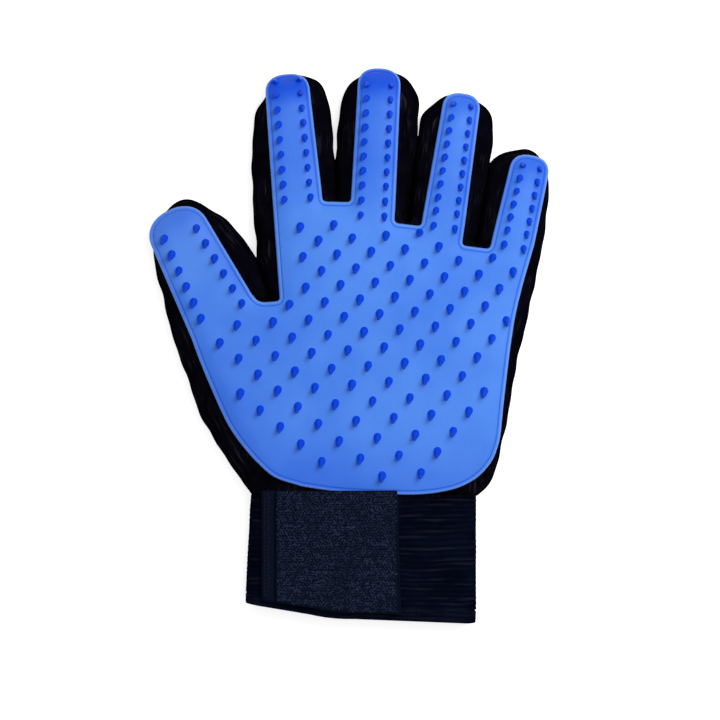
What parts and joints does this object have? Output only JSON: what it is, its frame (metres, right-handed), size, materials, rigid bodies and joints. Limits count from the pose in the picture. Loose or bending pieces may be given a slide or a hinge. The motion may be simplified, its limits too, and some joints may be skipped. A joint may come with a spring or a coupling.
{
  "type": "grooming glove",
  "caption": "Left-hand pet grooming glove: nubbed rubber palm and finger strips on a puffed cloth glove, with an elastic wrist cuff and a hook-and-loop strap.",
  "frame": {"origin": "on the table under the middle of the glove's outline, with the glove on its back", "axes": "+X to the little finger side, +Y to the fingertips, +Z out of the palm"},
  "size_m": [0.1698, 0.232, 0.0236],
  "materials": {
    "rubber": "satin moulded rubber with soft nubs",
    "knit_cloth": "matte black knit",
    "back_mesh": "black mesh cloth",
    "elastic": "ribbed black elastic",
    "strap_pile": "dark navy loop pile",
    "loop_pile": "dark navy loop pile",
    "hooks": "woven tape with stiff hooks"
  },
  "bodies": {
    "hand": {"palm_pad": "rubber", "palm_lining": "knit_cloth", "back_panel": "back_mesh", "thumb_side_gusset": "knit_cloth", "little_side_gusset": "knit_cloth", "thumb_index_web": "knit_cloth", "index_middle_web": "knit_cloth", "middle_ring_web": "knit_cloth", "ring_little_web": "knit_cloth", "cuff_front": "elastic", "cuff_back": "elastic", "cuff_hem": "elastic", "loop_patch": "loop_pile", "strap_anchor": "strap_pile"},
    "wrist_strap": {"strap": "strap_pile", "hook_patch": "hooks"},
    "thumb": {"thumb_pad": "rubber", "thumb_front": "knit_cloth", "thumb_back": "back_mesh", "thumb_left_gusset": "knit_cloth", "thumb_right_gusset": "knit_cloth"},
    "index_finger": {"index_pad": "rubber", "index_front": "knit_cloth", "index_back": "back_mesh", "index_left_gusset": "knit_cloth", "index_right_gusset": "knit_cloth"},
    "middle_finger": {"middle_pad": "rubber", "middle_front": "knit_cloth", "middle_back": "back_mesh", "middle_left_gusset": "knit_cloth", "middle_right_gusset": "knit_cloth"},
    "ring_finger": {"ring_pad": "rubber", "ring_front": "knit_cloth", "ring_back": "back_mesh", "ring_left_gusset": "knit_cloth", "ring_right_gusset": "knit_cloth"},
    "little_finger": {"little_pad": "rubber", "little_front": "knit_cloth", "little_back": "back_mesh", "little_left_gusset": "knit_cloth", "little_right_gusset": "knit_cloth"}
  },
  "joints": [
    {"name": "thumb_bend", "type": "hinge", "parent": "hand", "child": "thumb", "pos_m": [-0.05165, 0.00969, 0.0201], "axis": [0.8829, 0.4695, 0], "range_deg": [0, 50]},
    {"name": "index_bend", "type": "hinge", "parent": "hand", "child": "index_finger", "pos_m": [-0.02149, 0.06361, 0.0201], "axis": [0.9962, 0.0872, 0], "range_deg": [0, 50]},
    {"name": "middle_bend", "type": "hinge", "parent": "hand", "child": "middle_finger", "pos_m": [0.01033, 0.06261, 0.0201], "axis": [0.9986, -0.0523, 0], "range_deg": [0, 50]},
    {"name": "ring_bend", "type": "hinge", "parent": "hand", "child": "ring_finger", "pos_m": [0.04004, 0.05171, 0.0201], "axis": [0.989, -0.1478, 0], "range_deg": [0, 50]},
    {"name": "little_bend", "type": "hinge", "parent": "hand", "child": "little_finger", "pos_m": [0.06905, 0.04351, 0.0201], "axis": [0.9763, -0.2164, 0], "range_deg": [0, 50]},
    {"name": "strap_peel", "type": "hinge", "parent": "hand", "child": "wrist_strap", "pos_m": [-0.03043, -0.08464, 0.0222], "axis": [0, -1, 0], "range_deg": [0, 150]}
  ]
}
